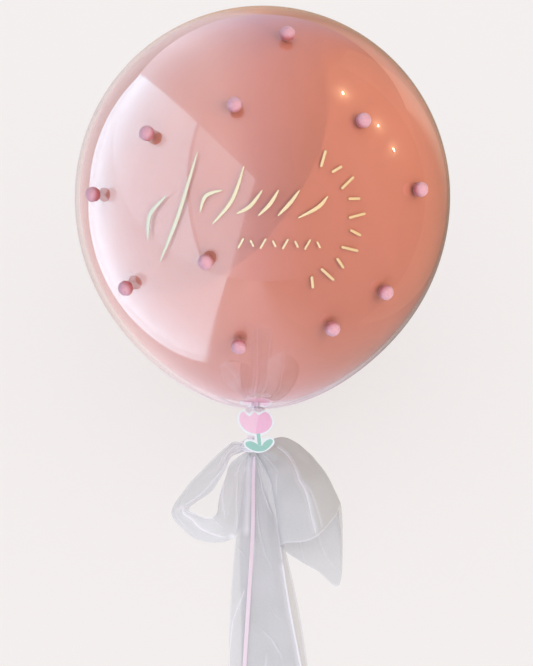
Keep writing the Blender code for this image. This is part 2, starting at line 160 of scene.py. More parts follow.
TAG_FLOWER = in_metres((
    (-9.0, 10.1), (-0.6, 15.8), (5.5, 10.5), (15.1, 14.4), (21.7, 9.7), (24.7, 1.0), (23.6, -6.7),
    (17.3, -13.8), (8.4, -17.2), (-0.2, -17.7), (-10.1, -14.9), (-18.3, -8.9), (-23.5, -0.8),
    (-24.9, 7.8), (-22.3, 15.3), (-16.7, 17.8),
))
TAG_SPLIT = in_metres(((5.5, 10.5), (2.8, 2.7), (0.3, -6.4), (-1.8, -17.4)))
TAG_STEM = in_metres(((-0.8, -17.5), (4.7, -17.8), (4.8, -27.1), (4.8, -37.3), (-0.6, -34.3), (-0.8, -25.7)))
TAG_LEAVES = in_metres((
    (-0.6, -34.3), (-7.0, -29.9), (-13.5, -28.0), (-18.8, -29.6), (-18.7, -34.9), (-13.2, -40.1),
    (-6.4, -43.6), (0.9, -45.2), (9.1, -44.5), (15.4, -40.9), (21.2, -35.3), (23.0, -31.5),
    (19.8, -28.0), (13.7, -29.6), (8.4, -33.1), (4.8, -37.3),
))

# Tulle bow. Folds: path as (percent along, percent across), height in millimetres, whiteness from 0 to 1
# and width in millimetres. The whiteness is partly denser net and partly a painted highlight.
FOLD_FADE = 0.05
NET_FLOOR_GAP = 0.0012
FRONT_TAIL_FLOOR_GAP = 0.0050
HEM_STEPS = 3
HEM_WHITENESS = 0.55
# Net beside a fold gets a painted highlight too: reach in widths of the fold, and share of its whiteness
FOLD_SURROUND_REACH = 4
FOLD_SURROUND_SHARE = 0.35
CREASE_HEIGHT = 0.0009
PATCH_WHITENESS = 0.22
PINCH_WHITENESS = 0.8
# The knot is wound over a stretch of its barrel, from one share of a half turn over another
WRAP_FROM, WRAP_OVER = 0.10, 0.58
WRAP_INSET = 0.0022
WRAP_RIDGE = 0.0020
BACK_TAIL_FOLDS = (
    (((0, 97), (40, 97.5), (100, 98)), 1, 0.45, 2.2),
    (((5, 55), (45, 66), (80, 60)), 1.6, 0.25, 4),
    (((30, 86), (60, 80), (100, 84)), 1.4, 0.2, 3),
    (((0, 2), (100, 2)), 0.6, 0.3, 1.5),
)
FRONT_TAIL_FOLDS = (
    (((0, 97), (35, 97.5), (60, 96)), 1, 0.55, 1.6),
    (((55, 95.5), (72, 96.5), (100, 97.5)), 2.2, 1, 2),
    (((2, 10), (20, 20), (34, 24), (50, 28)), 2.2, 0.6, 6),
    (((46, 42), (57, 39), (66, 35)), 1.6, 0.55, 4.5),
    (((10, 52), (16, 56.7), (28, 61.1), (34, 73.3), (40, 87.8)), 1.6, 0.6, 1.5),
    (((2, 80), (20, 90), (30, 93)), 1.2, 0.5, 1.4),
    (((66, 30), (70, 26), (74, 19), (79, 8), (86, 2.2), (100, 3)), 1.6, 0.75, 1.4),
    (((62, 50), (66, 56)), 1.4, 0.45, 1.6),
    (((74, 66), (76.9, 69), (80.4, 90)), 1.4, 0.5, 1.4),
    (((84, 55), (92, 48), (100, 52)), 1.6, 0.4, 2.4),
    (((50, 2), (52.7, 3.3), (54.2, 17.8), (56.2, 26.7), (58, 30)), 1.4, 0.6, 1.6),
    (((78, 30), (80.8, 50), (83.1, 61.1), (86.5, 68.9), (90, 72)), 1.4, 0.4, 2),
    (((30, 45), (42, 50), (55, 62), (63, 78)), 1.4, 0.3, 2),
    (((0, 2), (100, 1.5)), 0.6, 0.4, 1.3),
)
LEFT_LOOP_FOLDS = (
    (((3, 55), (10, 74), (25, 78), (32, 66), (36, 64), (39, 54), (43, 56)), 2.2, 0.85, 1.9),
    (((3, 20), (5.8, 30), (19.6, 56), (25.4, 64)), 1.8, 0.55, 2.2),
    (((6.5, 5), (19.6, 46), (25.8, 54), (29.2, 62)), 1.4, 0.35, 1.8),
    (((37, 70), (40.8, 58), (51.5, 60), (60.4, 42), (66.2, 20), (69, 4)), 1.6, 0.95, 1.5),
    (((38, 45), (45, 80), (52.3, 96), (63.1, 90), (66.5, 50), (69, 8)), 1.4, 0.75, 1.4),
    (((68, 3), (70, 56), (76.2, 78), (82, 97), (90, 97)), 1.6, 0.7, 1.4),
    (((68, 3), (79.6, 38), (89.6, 54), (96, 52)), 1.6, 0.55, 1.4),
    (((68, 2), (77, 2), (84.6, 3), (95.8, 30)), 1.2, 0.65, 1.5),
    (((84, 90), (86.5, 62), (89.6, 50), (94.6, 56), (97, 55)), 1.4, 0.5, 1.4),
    (((2, 98.5), (30, 98.5), (60, 98.5), (98, 98.5)), 0.8, 0.7, 1.3),
    (((10, 1.5), (50, 1.5), (90, 1.5)), 0.6, 0.3, 1.3),
    (((30, 10), (38.5, 30), (46, 22), (55, 14)), 1.6, 0.3, 3),
)
# Where folds meet: share along, share across and size in metres
LEFT_LOOP_PINCHES = ((0.402, 0.45, 0.008), (0.685, 0.05, 0.007))
RIGHT_LOOP_FOLDS = (
    (((20, 56), (27, 57.5), (48, 63.7), (64.3, 69.4), (86.4, 70), (100, 69)), 2.4, 0.9, 1.7),
    (((10, 78), (30, 80), (50, 80), (68, 88)), 1.6, 0.45, 1.6),
    (((66, 69), (75.7, 67), (87.9, 66), (100, 65)), 1.2, 0.4, 1.8),
    (((74, 19), (84.3, 19.4), (87.9, 21.2), (94, 27.5)), 1.6, 0.5, 1.6),
    (((30, 12), (60, 10), (100, 10)), 1.6, 0.35, 1.8),
    (((5, 44), (30, 44), (60, 47), (90, 44), (100, 43)), 0.8, 0.35, 1.6),
)
# Edges of the loops and tails: points as (right of the knot, ahead of the knot, above the floor)
LEFT_LOOP_OUTER = in_metres((
    (-7, -1, 24), (-30, -2, 29), (-44, 13, 30), (-68, 37, 21), (-100, 77, 8), (-121, 126, 5),
    (-103, 159, 4), (-76, 182, 4), (-33, 181, 4), (-14, 144, 5.5), (-10, 86, 6.5), (-8, 40, 10),
    (-4, 8, 13),
))
LEFT_LOOP_INNER = in_metres((
    (-7, 5, 18), (-22, 22, 28), (-34, 39, 36), (-43, 78, 46), (-62, 122, 46), (-92, 148, 38),
    (-84, 157, 38), (-66, 164, 36), (-54, 156, 36), (-51, 126, 36), (-43, 76, 32), (-34, 36, 23),
    (-8, 6, 20),
))
RIGHT_LOOP_ROOT = (0.006, 0.002, 0.0205)
RIGHT_LOOP_ROOT_RADIUS = 0.0065
RIGHT_LOOP_LINES = [in_metres(line) for line in (
    ((14, 30, 8), (31, 70, 4), (44, 140, 3), (52, 197, 3)),
    ((30, 22, 6), (58, 60, 3), (82, 140, 3), (98, 232, 3)),
    ((40, 4, 9), (84, 45, 5), (127, 130, 3), (137, 258, 3)),
    ((46, -12, 33), (86, 24, 36), (119, 74, 29), (137, 112, 13)),
    ((38, 10, 34), (72, 44, 44), (108, 104, 54), (126, 160, 40)),
    ((28, 26, 28), (50, 66, 46), (78, 130, 58), (94, 208, 44)),
    ((18, 30, 22), (30, 70, 34), (43, 140, 38), (53, 204, 28)),
)]
BACK_TAIL_LEFT = in_metres(((-5, 7, 10), (-8, 60, 3), (-16, 180, 3), (-10, 320, 3), (-4, 500, 3)))
BACK_TAIL_RIGHT = in_metres(((5, 7, 10), (22, 80, 3), (51, 185, 3), (78.5, 330, 3), (101, 505, 3)))
FRONT_TAIL_LEFT = in_metres(((-6, 6, 16.5), (-14, 62, 10), (-22, 185, 8.5), (-26, 320, 8.5), (-24, 500, 8.5)))
FRONT_TAIL_RIGHT = in_metres(((6, 6, 16.5), (30, 72, 11), (46, 190, 8.5), (64, 320, 8.5), (94, 495, 8.5)))

# Ribbon, over the front tail and then wound up on its edge beyond the tails
RIBBON_WIDTH = 0.006
RIBBON_THICKNESS = 0.0003
RIBBON_POINTS = (
    (0.001, 0.024, 0.0250), (0.001, 0.040, 0.0185), (0.001, 0.062, 0.0150), (0.002, 0.100, 0.0132),
    (0.003, 0.150, 0.0126), (0.003, 0.200, 0.0124), (0.002, 0.250, 0.0124), (0.001, 0.300, 0.0124),
    (0.000, 0.350, 0.0124), (-0.001, 0.400, 0.0124), (-0.002, 0.450, 0.0124), (-0.002, 0.490, 0.0124),
    (-0.0015, 0.512, 0.0108), (-0.0010, 0.532, 0.0060), (-0.0002, 0.550, 0.0036), (0.0006, 0.570, 0.0034),
)
COIL_RIGHT, COIL_AHEAD = -0.0359, 0.5885
COIL_OUTER = 0.0366
COIL_TURNS = 3
COIL_PITCH = 0.0026
COIL_LIFT = 0.0034
RIBBON_STEPS = 300
RIBBON_COLUMNS = 6
# The ribbon leaves the knot turned by one angle and lies on its edge in the coil
TURN_AT_KNOT = radians(-62)
TURN_IN_COIL = radians(90)
KNOT_TURN_SPAN = 0.110
COIL_TURN_FROM, COIL_TURN_SPAN = 0.515, 0.050
SWAY = 0.10
END_SLANT = 0.004
COIL_STEPS = 72

# Tie round the coil: rings as (place along, 1 if it goes round the outside)
TIE_ANGLE = radians(200)
TIE_THICKNESS = 0.00025
TIE_SIDES = 48
TIE_RINGS = ((-0.0020, 0), (-0.0020, 1), (-0.0008, 1), (0.0008, 1), (0.0020, 1), (0.0020, 0))
TIE_FLOOR_GAP = 0.00005
TIE_CLEAR_ACROSS, TIE_CLEAR_ABOVE = 0.0009, 0.0002


def bubble_reach(polar):
    """Distance from the bubble's centre to its skin, at an angle down from the crown."""
    up = cos(polar)
    if up >= 0:
        return BUBBLE_RADIUS + CROWN_RISE * up**2
    pointed = (1 - FOOT_ROUND_SHARE) * abs(up) ** FOOT_POINT_POWER
    return BUBBLE_RADIUS + FOOT_RISE * (FOOT_ROUND_SHARE * up**2 + pointed)


def lowest_below_centre(lean):
    """Drop from the centre to the lowest point of the skin, and how far ahead that point is."""
    steps = 720
    drop, ahead = 0.0, 0.0
    for step in range(steps + 1):
        polar = pi * step / steps
        reach = bubble_reach(polar)
        below = reach * sin(polar - lean)
        if below > drop:
            drop, ahead = below, -reach * cos(polar - lean)
    return drop, ahead


def resting_lean():
    """Angle of the balloon's axis from level that brings the knot just above the floor."""
    lean = radians(45)
    for _ in range(40):
        centre_height = lowest_below_centre(lean)[0] - FLAT_SPOT_DEPTH
        knot_drop = math.hypot(KNOT_RADIUS * cos(lean), KNOT_HALF_LENGTH * sin(lean))
        lean = math.asin((centre_height - knot_drop - KNOT_FLOOR_GAP) / KNOT_DISTANCE)
    return lean


LEAN = resting_lean()
SKIN_DROP, SPOT_AHEAD = lowest_below_centre(LEAN)
CENTRE = Vector((0, SPOT_AHEAD, SKIN_DROP - FLAT_SPOT_DEPTH))
BALLOON = Matrix.Translation(CENTRE) @ Matrix.Rotation(LEAN, 4, "X")
KNOT = BALLOON @ Vector((0, -KNOT_DISTANCE, 0))


# Shader nodes


def fill(tree, socket, value):
    """Link a socket to another one, or set it to a value."""
    if isinstance(value, bpy.types.NodeSocket):
        tree.links.new(value, socket)
    else:
        socket.default_value = value


def node(tree, kind, **inputs):
    made = tree.nodes.new("ShaderNode" + kind)
    for label, value in inputs.items():
        fill(tree, made.inputs[label.replace("_", " ")], value)
    return made


def operate(tree, operation, *values):
    """Result of a mathematical operation on numbers or sockets."""
    made = node(tree, "Math")
    made.operation = operation
    for socket, value in zip(made.inputs, values):
        fill(tree, socket, value)
    return made.outputs["Value"]


def mixed(tree, share, first, second):
    """Mix of two colours, each a socket or a value."""
    mix = node(tree, "Mix")
    mix.data_type = "RGBA"
    fill(tree, mix.inputs["Factor"], share)
    for label, colour in (("A", first), ("B", second)):
        fill(tree, mix.inputs[label], (*colour, 1.0) if isinstance(colour, tuple) else colour)
    return mix.outputs["Result"]


def choose(tree, share, first, second, output):
    """Show the first shader where share is 0 and the second where it is 1."""
    mix = node(tree, "MixShader", Fac=share)
    fill(tree, mix.inputs[1], first)
    fill(tree, mix.inputs[2], second)
    fill(tree, tree.nodes[output].inputs["Surface"], mix.outputs["Shader"])


def ramp(tree, source, stops):
    made = node(tree, "ValToRGB", Fac=source)
    elements = made.color_ramp.elements
    while len(elements) < len(stops):
        elements.new(0.5)
    for element, (place, colour) in zip(elements, stops):
        element.position = place
        element.color = (*colour, 1.0)
    return made.outputs["Color"]


def object_place(tree):
    return node(tree, "TexCoord").outputs["Object"]


def attribute(tree, name):
    made = node(tree, "Attribute")
    made.attribute_name = name
    return made.outputs["Fac"]


def noise_value(tree, scale, detail=2.0):
    return node(tree, "TexNoise", Scale=scale, Detail=detail, Vector=object_place(tree)).outputs["Fac"]


def add_bump(tree, shader, source, distance, strength):
    bump = node(tree, "Bump", Strength=strength, Distance=distance, Height=source)
    fill(tree, shader.inputs["Normal"], bump.outputs["Normal"])


def principled(name, colour, roughness, **more):
    made = bpy.data.materials.new(name)
    made.use_nodes = True
    shader = made.node_tree.nodes["Principled BSDF"]
    shader.inputs["Base Color"].default_value = (*colour, 1.0)
    shader.inputs["Roughness"].default_value = roughness
    for label, value in more.items():
        shader.inputs[label.replace("_", " ")].default_value = value
    return made, shader


def paint(tree, shader, colour):
    fill(tree, shader.inputs["Base Color"], colour)


# Camera and stage


def make_camera():
    """Long lens square to the balloon's axis, with the photo's frame and its slight roll."""
    data = bpy.data.cameras.new("camera")
    camera = bpy.data.objects.new("camera", data)
    bpy.context.scene.collection.objects.link(camera)
    bpy.context.scene.camera = camera
    data.sensor_width = SENSOR
    data.lens = SENSOR * CAMERA_DISTANCE / (PHOTO_HEIGHT * METRES_PER_PIXEL)
    data.clip_end = 100
    roll = Matrix.Rotation(CAMERA_ROLL, 4, "Z")
    across = (PHOTO_WIDTH / 2 - BALLOON_PIXEL[0]) * METRES_PER_PIXEL
    down = (PHOTO_HEIGHT / 2 - BALLOON_PIXEL[1]) * METRES_PER_PIXEL
    place = Matrix.Translation((across, -down, CAMERA_DISTANCE))
    camera.matrix_world = BALLOON @ roll @ place
    bpy.context.scene.view_settings.view_transform = "Standard"


# What glossy skins mirror: an even room from left to right, with a bright window at the left
SKY_ROOM = (
    (0.00, (1.60, 1.55, 1.72)), (0.30, (1.55, 1.46, 1.64)), (0.48, (0.62, 0.60, 0.84)),
    (0.58, (0.42, 0.37, 0.48)), (0.72, (0.20, 0.11, 0.08)), (1.00, (0.14, 0.07, 0.05)),
)
FLOOR_AHEAD = (
    (0.00, (0.85, 0.80, 0.82)), (0.38, (1.10, 1.00, 1.08)), (0.47, (0.98, 0.82, 0.94)),
    (0.53, (0.86, 0.72, 0.84)), (0.62, (0.40, 0.32, 0.30)), (0.74, (0.18, 0.10, 0.07)),
    (1.00, (0.12, 0.06, 0.04)),
)
FLOOR_BEHIND = (
    (0.00, (0.86, 0.80, 0.84)), (0.30, (0.86, 0.75, 0.76)), (0.45, (0.74, 0.49, 0.36)),
    (0.56, (0.55, 0.38, 0.28)), (0.70, (0.40, 0.28, 0.20)), (1.00, (0.48, 0.38, 0.32)),
)
WINDOW_LIGHT = (2.45, 3.10, 3.60)
# Planes that bound the window and the parts of the floor: (normal, distance, softness). What lies below
# a plane is inside. In the sky the window ends at the top and the right, and a bar parts it into a far
# and a near pane.
SKY_WINDOW = (
    ((0.671, 0.540, 0.509), 0.03, 0.012), ((0.95, -0.28, -0.12), 0.0, 0.02),
    ((0.68, -0.45, 0.58), 0.01, 0.01), ((-0.68, 0.45, -0.58), -0.05, 0.01),
)
NEAR_PANE_SHARE = 0.50
# On the floor the window ends nearby, further off and at the right
FLOOR_WINDOW = (
    ((1.0, 1.0, 0.0), -0.51, 0.012), ((0.837, 0.548, 0.0), -0.548, 0.012), ((1.0, -0.3125, 0.0), -0.06, 0.02),
)
FLOOR_WINDOW_SHARE = 0.82
FLOOR_AHEAD_PLANES = (((0.0, 1.0, 0.0), -0.05, 0.20), ((-1.0, 1.0, 0.0), -0.10, 0.25))
FLOOR_SIZE = 14.0
FLOOR_DROP = 0.0002
FLOOR_GLOW = 0.728


def below_plane(tree, vector, plane):
    """1 where a vector is below a plane and 0 above it, with a soft step between."""
    normal, distance, soft = plane
    dot = node(tree, "VectorMath")
    dot.operation = "DOT_PRODUCT"
    fill(tree, dot.inputs[0], vector)
    fill(tree, dot.inputs[1], normal)
    above = operate(tree, "SUBTRACT", dot.outputs["Value"], distance)
    step = node(tree, "MapRange", Value=above, From_Min=soft, From_Max=-soft)
    step.interpolation_type = "SMOOTHSTEP"
    return step.outputs["Result"]


def across_room(tree, place, stops):
    """Even room from one metre at the left to one at the right."""
    split = node(tree, "SeparateXYZ", Vector=place)
    scale = node(tree, "MapRange", Value=split.outputs["X"], From_Min=-1.0)
    return ramp(tree, scale.outputs["Result"], stops)


def mirrored(tree):
    """1 where a ray has been mirrored on its way from the camera."""
    return operate(tree, "GREATER_THAN", node(tree, "LightPath").outputs["Glossy Depth"], 0.5)


def make_world():
    world = bpy.data.worlds.new("studio")
    bpy.context.scene.world = world
    world.use_nodes = True
    tree = world.node_tree
    back = tree.nodes["Background"]
    back.inputs["Color"].default_value = (1.0, 0.985, 0.98, 1.0)
    back.inputs["Strength"].default_value = WORLD_STRENGTH
    facing = node(tree, "TexCoord").outputs["Generated"]
    top, right, far, near = (below_plane(tree, facing, plane) for plane in SKY_WINDOW)
    panes = operate(tree, "MULTIPLY_ADD", near, NEAR_PANE_SHARE, far)
    window = operate(tree, "MULTIPLY", operate(tree, "MULTIPLY", top, right), panes)
    even = across_room(tree, facing, SKY_ROOM)
    room = node(tree, "Background", Color=mixed(tree, window, even, WINDOW_LIGHT))
    choose(tree, mirrored(tree), back.outputs["Background"], room.outputs["Background"], "World Output")


def make_floor():
    bpy.ops.mesh.primitive_plane_add(size=FLOOR_SIZE, location=(0, 0, -FLOOR_DROP))
    floor = bpy.context.object
    floor.name = "floor"
    made, shader = principled("floor", (0.22, 0.214, 0.212), 1.0, Specular_IOR_Level=0.0)
    shader.inputs["Emission Color"].default_value = (1.0, 0.963, 0.955, 1.0)
    shader.inputs["Emission Strength"].default_value = FLOOR_GLOW
    tree = made.node_tree
    spot = object_place(tree)
    near, far, right = (below_plane(tree, spot, plane) for plane in FLOOR_WINDOW)
    before, beside = (below_plane(tree, spot, plane) for plane in FLOOR_AHEAD_PLANES)
    window = operate(tree, "MULTIPLY", operate(tree, "MAXIMUM", near, far), right)
    window = operate(tree, "MULTIPLY", window, FLOOR_WINDOW_SHARE)
    ahead = operate(tree, "MAXIMUM", before, beside)
    behind = across_room(tree, spot, FLOOR_BEHIND)
    even = mixed(tree, ahead, behind, across_room(tree, spot, FLOOR_AHEAD))
    room = node(tree, "Emission", Color=mixed(tree, window, even, WINDOW_LIGHT))
    choose(tree, mirrored(tree), shader.outputs["BSDF"], room.outputs["Emission"], "Material Output")
    floor.data.materials.append(made)
    return floor


def make_light(
    lit, name, place, facing, size, power, colour, seen_in_gloss=True, lights_up=True, blockers=None
):
    """Soft box given in the balloon's frame, which looks along facing and keeps out of the camera's view."""
    data = bpy.data.lights.new(name, "AREA")
    data.shape = "RECTANGLE"
    data.size, data.size_y = size
    data.energy = power
    data.color = colour
    light = bpy.data.objects.new(name, data)
    bpy.context.scene.collection.objects.link(light)
    back = -Vector(facing).normalized()
    across = Vector((0, 1, 0)).cross(back).normalized()
    upward = back.cross(across)
    turn = Matrix((across, upward, back)).transposed().to_4x4()
    light.matrix_world = BALLOON @ Matrix.Translation(place) @ turn
    light.visible_camera = False
    light.light_linking.receiver_collection = lit
    if blockers:
        light.light_linking.blocker_collection = blockers
    light.visible_diffuse = lights_up
    light.visible_glossy = seen_in_gloss
    light.visible_transmission = seen_in_gloss


def lit_only(name, *items):
    """Collection of the only things that a lamp lights."""
    lit = bpy.data.collections.new(name)
    for item in items:
        lit.objects.link(item)
    return lit


def lit_but(name, *items):
    """Collection for a lamp that leaves some things to the world's even light."""
    lit = lit_only(name, *items)
    for entry in lit.collection_objects:
        entry.light_linking.link_state = "EXCLUDE"
    return lit


# Lamps that only the gloss shows, all at one distance to the right: up, ahead, size and power
LAMPS_RIGHT = 1.5
SMALL_LAMPS = ((2.01, 0.49, 0.05, 3.0), (0.96, 0.24, 0.035, 0.9), (0.58, 0.13, 0.03, 0.6))


def make_lights(floor, tag, trims):
    """Daylight from the upper left, lamp light from the right and a fill from below the camera."""
    lit = lit_but("all_but_floor", floor)
    face = lit_but("balloon_only", floor, *trims)
    bow = lit_only("bow_only", *trims)
    hidden = {"seen_in_gloss": False}
    # The tag throws no shadow on the neck and the knot
    on_trims = {"seen_in_gloss": False, "blockers": lit_but("all_but_tag", tag)}
    in_gloss = {"lights_up": False}
    cool, warm, pale = (0.90, 0.95, 1.0), (1.0, 0.66, 0.33), (1.0, 0.93, 0.97)
    white, blue, amber = (1, 0.99, 1), (0.97, 0.98, 1), (1.0, 0.68, 0.48)
    make_light(lit, "daylight", (-1.3, 0.9, 1.6), (1.3, -0.9, -1.6), (1.6, 1.6), 5, cool, **hidden)
    make_light(face, "lamplight", (1.0, 0.1, 1.6), (-1.0, -0.1, -1.6), (1.2, 1.2), 26, warm, **hidden)
    make_light(bow, "bow_light", (0.3, -0.3, 2.2), (-0.14, 0, -1), (1.2, 1.2), 13, white, **on_trims)
    make_light(bow, "bow_side", (-1.1, -1.1, 0.7), (1.0, 0.75, -0.7), (0.4, 0.4), 0.8, blue, **on_trims)
    make_light(face, "fill", (0.1, -1.4, 2.0), (-0.1, 1.4, -2.0), (1.6, 1.2), 17, pale, **hidden)
    make_light(lit, "ledge", (0.42, 0.14, -0.10), (-1, 0, 0), (0.32, 1.28), 0.17, amber, **in_gloss)
    for up, ahead, size, power in SMALL_LAMPS:
        place = Vector((LAMPS_RIGHT, up, ahead))
        facing = (-LAMPS_RIGHT, -up, -ahead)
        make_light(lit, "lamp", place, facing, (size, size), power, warm, **in_gloss)


# Materials


def film_material():
    """Clear film. Rays from lamps pass it, so that the balloon inside is lit."""
    made, shader = principled("clear film", (1.0, 1.0, 1.0), 0.0, Transmission_Weight=1.0, IOR=1.45)
    tree = made.node_tree
    passing = node(tree, "BsdfTransparent")
    shadow = node(tree, "LightPath").outputs["Is Shadow Ray"]
    choose(tree, shadow, shader.outputs["BSDF"], passing.outputs["BSDF"], "Material Output")
    return made


def gathered_film_material():
    """Many layers of film bunched together, which look milky."""
    made, shader = principled("gathered film", (0.96, 0.84, 0.90), 0.3, Transmission_Weight=0.15, IOR=1.45)
    add_bump(made.node_tree, shader, noise_value(made.node_tree, 260.0), 0.0006, 0.5)
    return made


def latex_material():
    """Pink latex with a soft shine and faint cloudiness."""
    made, shader = principled("pink latex", (0.70, 0.28, 0.26), 0.22, Coat_Weight=0.4, Coat_Roughness=0.08)
    tree = made.node_tree
    stops = ((0.30, (0.62, 0.258, 0.212)), (0.70, (0.66, 0.285, 0.238)))
    paint(tree, shader, ramp(tree, noise_value(tree, 3.0, 3.0), stops))
    add_bump(tree, shader, noise_value(tree, 16.0, 1.0), 0.0003, 0.25)
    return made


def pom_material():
    """Matte wool, with painted shade that darkens it to deep rose where a ball sits on the film."""
    made, shader = principled("pom wool", (0.60, 0.28, 0.35), 0.95, Sheen_Weight=0.35, Sheen_Roughness=0.5)
    tree = made.node_tree
    shader.inputs["Sheen Tint"].default_value = (1.0, 0.86, 0.92, 1.0)
    tufts = noise_value(tree, 900.0, 4.0)
    colour = ramp(tree, tufts, ((0.30, (0.37, 0.175, 0.25)), (0.65, (0.56, 0.37, 0.50))))
    # Painted shade: deep rose towards the side of the ball that sits on the film
    deep = mixed(tree, attribute(tree, "painted_contact_shade"), colour, (0.34, 0.075, 0.095))
    paint(tree, shader, deep)
    add_bump(tree, shader, tufts, 0.0006, 0.8)
    return made


def vinyl_material():
    """Vinyl film whose colour turns from cream at the left to golden at the right, a painted tint of the cool
    daylight at the left and the warm lamplight at the right.
    """
    made, shader = principled("vinyl", (0.85, 0.75, 0.48), 0.42)
    tree = made.node_tree
    split = node(tree, "SeparateXYZ", Vector=object_place(tree))
    across = node(tree, "MapRange", Value=split.outputs["X"], From_Min=-0.17, From_Max=0.16)
    # Painted light: a cool cast at the left, warm and golden at the right
    stops = ((0.0, (0.545, 0.61, 0.54)), (0.55, (0.53, 0.53, 0.40)), (1.0, (0.49, 0.38, 0.225)))
    paint(tree, shader, ramp(tree, across.outputs["Result"], stops))
    add_bump(tree, shader, noise_value(tree, 250.0), 0.0001, 0.3)
    return made


def print_material(name, colour):
    made, shader = principled(name, colour, 0.5)
    tree = made.node_tree
    grain = noise_value(tree, 600.0, 3.0)
    darker = tuple(0.94 * c for c in colour)
    paint(tree, shader, ramp(tree, grain, ((0.35, darker), (0.65, colour))))
    add_bump(tree, shader, grain, 0.00005, 0.4)
    return made


def tulle_material():
    """Fine net: each layer lets light through, and a fold is denser and whiter, its whiteness partly a
    painted highlight.
    """
    made, shader = principled("tulle", (0.60, 0.60, 0.63), 0.85, Sheen_Weight=0.3, Sheen_Roughness=0.4)
    tree = made.node_tree
    fold = attribute(tree, "fold")
    net = mixed(tree, attribute(tree, "warm"), (0.60, 0.615, 0.65), (0.57, 0.55, 0.52))
    # Whiter at folds: denser net, and a painted highlight along each fold
    paint(tree, shader, mixed(tree, fold, net, (0.93, 0.91, 1.0)))
    spread = node(tree, "MapRange", Value=noise_value(tree, 1100.0, 1.0), To_Min=0.50, To_Max=0.80)
    dense = node(tree, "MapRange", Value=fold, To_Min=spread.outputs["Result"], To_Max=0.90)
    fill(tree, shader.inputs["Alpha"], dense.outputs["Result"])
    return made


def ribbon_material():
    made, shader = principled("satin ribbon", (0.84, 0.64, 0.74), 0.35, Sheen_Weight=0.3, Anisotropic=0.4)
    tree = made.node_tree
    weave = noise_value(tree, 1500.0, 2.0)
    stops = ((0.35, (0.79, 0.66, 0.78)), (0.65, (0.90, 0.77, 0.88)))
    paint(tree, shader, ramp(tree, weave, stops))
    add_bump(tree, shader, weave, 0.0001, 0.4)
    return made


# Shapes


def curve_through(points, share):
    """Point at a share from 0 to 1 along a smooth curve through points."""
    spans = len(points) - 1
    place = min(max(share, 0.0), 1.0) * spans
    first = min(int(place), spans - 1)
    t = place - first
    before = points[max(first - 1, 0)]
    start, end = points[first], points[first + 1]
    after = points[min(first + 2, spans)]
    slope_in = (end - before) / 2
    slope_out = (after - start) / 2
    return (
        start * (2 * t**3 - 3 * t**2 + 1)
        + slope_in * (t**3 - 2 * t**2 + t)
        + end * (3 * t**2 - 2 * t**3)
        + slope_out * (t**3 - t**2)
    )


def smooth(share):
    """Share kept from 0 to 1 and eased at both ends."""
    share = min(1.0, max(0.0, share))
    return share * share * (3 - 2 * share)


def add_mesh(name, bm, made, recalc=True):
    if recalc:
        bmesh.ops.recalc_face_normals(bm, faces=bm.faces)
    mesh = bpy.data.meshes.new(name)
    bm.to_mesh(mesh)
    bm.free()
    mesh.shade_smooth()
    item = bpy.data.objects.new(name, mesh)
    bpy.context.scene.collection.objects.link(item)
    mesh.materials.append(made)
    return item


def direction(down, around):
    down, around = radians(down), radians(around)
    return Vector((sin(down) * sin(around), cos(down), sin(down) * cos(around)))


def turned_grid(bm, profile, sides, shape=None):
    """Rows of points turned about Y in the balloon's frame, closed at ends that lie on the axis."""
    rows = []
    for radius, along in profile:
        if radius == 0:
            rows.append([bm.verts.new((0, along, 0))])
            continue
        row = []
        for side in range(sides):
            angle = 2 * pi * side / sides
            wide = radius * (shape(angle, along) if shape else 1)
            row.append(bm.verts.new((wide * sin(angle), along, wide * cos(angle))))
        rows.append(row)
    for upper, lower in zip(rows, rows[1:]):
        for side in range(sides):
            beside = (side + 1) % sides
            corners = [upper[side % len(upper)], upper[beside % len(upper)]]
            corners += [lower[beside % len(lower)], lower[side % len(lower)]]
            bm.faces.new(list(dict.fromkeys(corners)))
    return rows


def join_rings(bm, rings):
    """Faces between rings that have the same number of points."""
    for ring, following in zip(rings, rings[1:]):
        for corner in range(len(ring)):
            beside = (corner + 1) % len(ring)
            bm.faces.new((ring[corner], ring[beside], following[beside], following[corner]))


def strip_solid(bm, rings):
    """Strip or rod through rings of points, closed at both ends."""
    join_rings(bm, rings)
    bm.faces.new(rings[0])
    bm.faces.new(rings[-1])


def keep_above(bm, height):
    for vert in bm.verts:
        vert.co.z = max(vert.co.z, height)


# Film and inner balloon


def film_profile(inset):
    profile = [(0, bubble_reach(0) - inset)]
    for ring in range(1, BODY_RINGS + 1):
        polar = FOOT_POLAR * ring / BODY_RINGS
        reach = bubble_reach(polar) - inset
        profile.append((reach * sin(polar), reach * cos(polar)))
    foot = profile[-1][1]
    neck_end = -(KNOT_DISTANCE - KNOT_HALF_LENGTH + NECK_IN_KNOT)
    for step in range(1, NECK_STEPS + 1):
        share = step / NECK_STEPS
        narrow = NECK_RADIUS - inset + NECK_FLARE * (1 - min(1, 2.2 * share)) ** 2
        profile.append((narrow, foot + (neck_end - foot) * share))
    return profile


def gather(angle, along):
    """Folds of the gathered film: deep in the neck, and dying out a little way up the foot."""
    below = GATHER_REACH - BUBBLE_RADIUS - FOOT_RISE - along
    if below < 0:
        return 1.0
    fade = min(1.0, below / GATHER_REACH) ** 2
    wave = 0.6 * sin(11 * angle) + 0.4 * sin(17 * angle + 1.3)
    return 1.0 - GATHER_DEPTH * fade * (1 + wave) / 2


